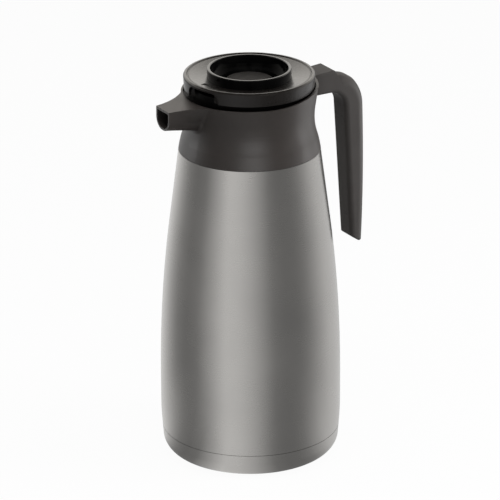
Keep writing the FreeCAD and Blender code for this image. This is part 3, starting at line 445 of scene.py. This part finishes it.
def make_turning_mark():
    """A small arrowhead with a raised border on the lid's dish, which points out to the spout."""
    bpy.ops.object.select_all(action="DESELECT")
    bpy.ops.mesh.primitive_cylinder_add(
        vertices=3, radius=MARK_SIZE, depth=MARK_THICKNESS, location=(0, 0, 0))
    mark = bpy.context.object
    mark.name = "turning_mark"
    pick_faces(mark, faces_up)
    bpy.ops.mesh.inset(thickness=MARK_BORDER)
    bpy.ops.transform.translate(value=(0, 0, -MARK_DIP))
    bpy.ops.object.mode_set(mode="OBJECT")
    rounding = mark.modifiers.new("rounding", "BEVEL")
    rounding.width = MARK_ROUNDING
    rounding.segments = 2
    rounding.limit_method = "ANGLE"
    bpy.ops.object.modifier_apply(modifier="rounding")
    outward = Vector((math.cos(MARK_ANGLE), math.sin(MARK_ANGLE), 0))
    above_lid = outward * MARK_REACH + Vector((0, 0, cad_high.z + CLEAR_OF_LID))
    spot, upward = nodes["lid_cover"].ray_cast(above_lid, Vector((0, 0, -1)))[1:3]
    outward = (outward - upward * outward.dot(upward)).normalized()
    turn = Matrix((outward.cross(upward), outward, upward)).transposed()
    sunk = spot + upward * (MARK_PROUD - MARK_THICKNESS / 2)
    mark.matrix_world = Matrix.Translation(sunk) @ turn.to_4x4()
    bpy.ops.object.transform_apply(location=True, rotation=True, scale=True)
    bpy.ops.object.shade_smooth_by_angle(angle=MARK_SMOOTH_ANGLE)
    mark.data.materials.append(make_mark_black())
    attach(mark, "lid")


make_turning_mark()


# Return spring of the valve

SPRING_TURNS = 4.5
SPRING_WIRE = 0.0004
WIRE_SIDES = 12
STEPS_PER_TURN = 28
SAME_POINT = 0.000001
SPRING_SMOOTH_ANGLE = math.radians(40)


def make_return_spring():
    """One round wire with closed ends, wound from a ring of its section, as the CAD spring is."""
    low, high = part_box("valve_spring")
    coil_radius = high[0] - SPRING_WIRE
    foot, height = low[2], high[2] - low[2]
    bpy.ops.object.select_all(action="DESELECT")
    bpy.ops.mesh.primitive_circle_add(vertices=WIRE_SIDES, radius=SPRING_WIRE, location=(0, 0, 0))
    spring = bpy.context.object
    spring.name = "return_spring"
    bpy.ops.object.mode_set(mode="EDIT")
    bpy.ops.mesh.select_all(action="SELECT")
    bpy.ops.transform.rotate(value=math.radians(90), orient_axis="X", center_override=(0, 0, 0))
    bpy.ops.transform.translate(value=(coil_radius, 0, foot + SPRING_WIRE))
    bpy.ops.object.mode_set(mode="OBJECT")
    winding = spring.modifiers.new("winding", "SCREW")
    winding.axis = "Z"
    winding.angle = 2 * math.pi * SPRING_TURNS
    winding.screw_offset = height - 2 * SPRING_WIRE
    winding.steps = round(STEPS_PER_TURN * SPRING_TURNS)
    winding.render_steps = winding.steps
    bpy.ops.object.modifier_apply(modifier="winding")
    bpy.ops.object.mode_set(mode="EDIT")
    bpy.ops.mesh.select_all(action="SELECT")
    bpy.ops.mesh.remove_doubles(threshold=SAME_POINT)
    bpy.ops.mesh.fill_holes(sides=0)
    bpy.ops.mesh.select_all(action="SELECT")
    bpy.ops.mesh.normals_make_consistent(inside=False)
    bpy.ops.object.mode_set(mode="OBJECT")
    bpy.ops.object.shade_smooth_by_angle(angle=SPRING_SMOOTH_ANGLE)
    spring.data.materials.append(FINISHES["screw_steel"])
    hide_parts("valve_spring")
    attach(spring, "lid")
    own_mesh(spring)


make_return_spring()


# Floor and background

AMBIENT = 0.2
FLOOR_SIZE = 6
FLOOR_PAPER = (0.92, 0.92, 0.92, 1)
FLOOR_WHITE = 0.955


def seen_directly(tree):
    """1 for what the camera sees straight, in metal or through glass, and 0 for soft light."""
    rays = tree.nodes.new("ShaderNodeLightPath").outputs
    mirrored = joined(tree, "ADD", rays["Is Glossy Ray"], rays["Is Transmission Ray"])
    return joined(tree, "ADD", rays["Is Camera Ray"], mirrored)


def white_floor_finish():
    """Pale floor that shows white and keeps a faint shadow."""
    finish, tree, surface = bare_finish("white_floor")
    paper = tree.nodes.new("ShaderNodeBsdfDiffuse")
    paper.inputs["Color"].default_value = FLOOR_PAPER
    glow = tree.nodes.new("ShaderNodeEmission")
    glow.inputs["Strength"].default_value = 1.0
    mix = tree.nodes.new("ShaderNodeMixShader")
    tree.links.new(joined(tree, "MULTIPLY", seen_directly(tree), FLOOR_WHITE), mix.inputs["Fac"])
    tree.links.new(paper.outputs["BSDF"], mix.inputs[1])
    tree.links.new(glow.outputs["Emission"], mix.inputs[2])
    tree.links.new(mix.outputs["Shader"], surface)
    return finish


bpy.ops.mesh.primitive_plane_add(size=FLOOR_SIZE, location=(0, 0, 0))
floor = bpy.context.object
floor.name = "floor"
floor.data.materials.append(white_floor_finish())

world = bpy.data.worlds.new("studio")
bpy.context.scene.world = world
world.use_nodes = True
sky = world.node_tree.nodes["Background"]
sky.inputs["Color"].default_value = (1, 1, 1, 1)
sky_light = between(world.node_tree, seen_directly(world.node_tree), AMBIENT, 1.0, 0.0, 1.0)
world.node_tree.links.new(sky_light, sky.inputs["Strength"])


# Light and dark cards round the jug, which only its glossy surfaces mirror

TENT_RADIUS = 0.22
TENT_HEIGHT = 0.437
TENT_SIDES = 96
TENT_ABOVE_FLOOR = 0.0005
CARD_LIGHT = 3.0
CARD_SOFTNESS = 0.008
FOOT_REACH = 0.08
FOOT_SPREAD = 1.3
# Each card is its angle from the camera, to the right, and its brightness
STEEL_CARDS = [
    (-180, 0.80), (-150, 0.87), (-128, 0.72), (-112, 0.48), (-96, 0.27), (-80, 0.20), (-62, 0.23),
    (-44, 0.50), (-28, 0.78), (-12, 0.71), (2, 0.56), (26, 0.23), (40, 0.19), (56, 0.195),
    (70, 0.26), (86, 0.44), (104, 0.64), (124, 0.70), (150, 0.72), (180, 0.80),
]
LID_CARDS = [
    (-180, 2.35), (-110, 2.35), (-70, 0.4), (-44, 0.1), (-36, 0.8), (-9, 0.8), (-4, 0.1),
    (6, 0.1), (11, 0.8), (36, 0.8), (44, 0.1), (70, 0.4), (110, 2.35), (180, 2.35),
]
STEEL_WHITE = (1.0, 1.0, 1.0)
LID_WHITE = (1.0, 0.962, 0.900)
LID_CARDS_START = 0.315


def card_brightness(tree, cards, white):
    """Brightness by the angle round the jug, with the cards spread wider near the jug's foot."""
    place = tree.nodes.new("ShaderNodeTexCoord")
    turn = tree.nodes.new("ShaderNodeMapping")
    turn.inputs["Rotation"].default_value = (0, 0, math.radians(90) - CAMERA_AZIMUTH)
    gradient = tree.nodes.new("ShaderNodeTexGradient")
    gradient.gradient_type = "RADIAL"
    tree.links.new(place.outputs["Object"], turn.inputs["Vector"])
    tree.links.new(turn.outputs["Vector"], gradient.inputs["Vector"])
    angle = gradient.outputs["Fac"]
    stops = []
    for degrees, light in cards:
        stops.append((0.5 + degrees / 360, [light / CARD_LIGHT * part for part in white]))
    reach = tree.nodes.new("ShaderNodeVectorMath")
    reach.operation = "LENGTH"
    tree.links.new(own_place(tree, (1, 1, 0)), reach.inputs[0])
    nearness = between(tree, reach.outputs["Value"], 1.0, 0.0, FOOT_REACH, TENT_RADIUS)
    wide_angle = between(tree, angle, 0.5 - FOOT_SPREAD / 2, 0.5 + FOOT_SPREAD / 2, 0.0, 1.0)
    return mixed(tree, nearness, shades(tree, angle, stops), shades(tree, wide_angle, stops))


def card_finish():
    """The steel's cards with the lid's cards above them."""
    finish, tree, surface = bare_finish("studio_cards")
    place = tree.nodes.new("ShaderNodeTexCoord")
    parts = tree.nodes.new("ShaderNodeSeparateXYZ")
    tree.links.new(place.outputs["Object"], parts.inputs["Vector"])
    above = between(
        tree, parts.outputs["Z"], 0.0, 1.0,
        start=LID_CARDS_START - CARD_SOFTNESS, end=LID_CARDS_START + CARD_SOFTNESS)
    steel_cards = card_brightness(tree, STEEL_CARDS, STEEL_WHITE)
    lid_cards = card_brightness(tree, LID_CARDS, LID_WHITE)
    glow = tree.nodes.new("ShaderNodeEmission")
    glow.inputs["Strength"].default_value = CARD_LIGHT
    tree.links.new(mixed(tree, above, steel_cards, lid_cards), glow.inputs["Color"])
    tree.links.new(glow.outputs["Emission"], surface)
    return finish


def only_mirrored(card):
    """Keeps a card out of the camera's sight and of soft light and shadow."""
    card.visible_camera = False
    card.visible_diffuse = False
    card.visible_transmission = False
    card.visible_shadow = False
    card.visible_volume_scatter = False


bpy.ops.mesh.primitive_cylinder_add(
    vertices=TENT_SIDES, radius=TENT_RADIUS, depth=TENT_HEIGHT, end_fill_type="TRIFAN",
    location=(0, 0, 0))
tent = bpy.context.object
tent.name = "studio_cards"
pick_faces(tent, faces_up)
bpy.ops.mesh.delete(type="FACE")
bpy.ops.mesh.select_all(action="SELECT")
bpy.ops.transform.translate(value=(0, 0, TENT_HEIGHT / 2 + TENT_ABOVE_FLOOR))
bpy.ops.object.mode_set(mode="OBJECT")
tent.data.materials.append(card_finish())
only_mirrored(tent)

CEILING_HEIGHT = 2.0
CEILING_SIZE = 6.0
CEILING_GREY = (0.06, 0.06, 0.06, 1)


def ceiling_finish():
    """Even dark grey that gives no soft light."""
    finish, tree, surface = bare_finish("dark_ceiling")
    glow = tree.nodes.new("ShaderNodeEmission")
    glow.inputs["Color"].default_value = CEILING_GREY
    tree.links.new(glow.outputs["Emission"], surface)
    return finish


bpy.ops.mesh.primitive_plane_add(size=CEILING_SIZE, location=(0, 0, CEILING_HEIGHT))
ceiling = bpy.context.object
ceiling.name = "dark_ceiling"
ceiling.data.materials.append(ceiling_finish())
only_mirrored(ceiling)


# Soft lamps

LAMPS_LOOK_AT = Vector((0, 0, 0.25))


def soft_lamp(name, degrees, reach, height, width, depth, watts, mirrored):
    """An area lamp at an angle round the jug that looks at the lid, and shows in gloss or not."""
    bpy.ops.object.light_add(type="AREA", location=round_the_jug(degrees, reach, height))
    lamp = bpy.context.object
    lamp.name = name
    lamp.data.shape = "RECTANGLE"
    lamp.data.size = width
    lamp.data.size_y = depth
    lamp.data.energy = watts
    lamp.visible_glossy = mirrored
    look = LAMPS_LOOK_AT - lamp.location
    lamp.rotation_euler = look.to_track_quat("-Z", "Y").to_euler()
    return lamp


def shine_lamp(name, degrees, reach, height, width, depth, watts, shining):
    """A low lamp that only gives the named plastic pieces their soft shine."""
    lamp = soft_lamp(name, degrees, reach, height, width, depth, watts, True)
    lamp.visible_diffuse = False
    lamp.light_linking.receiver_collection = bpy.data.collections.new(name)
    for node in shining:
        lamp.light_linking.receiver_collection.objects.link(nodes[node])


soft_lamp(
    "overhead_softbox", degrees=-10, reach=0.35, height=1.5, width=1.2, depth=1.2, watts=12.0,
    mirrored=False)
soft_lamp(
    "right_softbox", degrees=80, reach=1.3, height=0.5, width=0.6, depth=0.6, watts=11.0,
    mirrored=False)
shine_lamp(
    "left_shine", degrees=-116, reach=1.0, height=0.28, width=0.6, depth=0.4, watts=9.0,
    shining=["collar"])
shine_lamp(
    "front_shine", degrees=8, reach=1.0, height=0.30, width=0.6, depth=0.2, watts=6.0,
    shining=["collar"])
shine_lamp(
    "right_shine", degrees=112, reach=0.6, height=0.13, width=0.30, depth=0.25, watts=2.6,
    shining=["collar", "handle", "lid_cover"])

bpy.context.scene.view_settings.view_transform = "Standard"
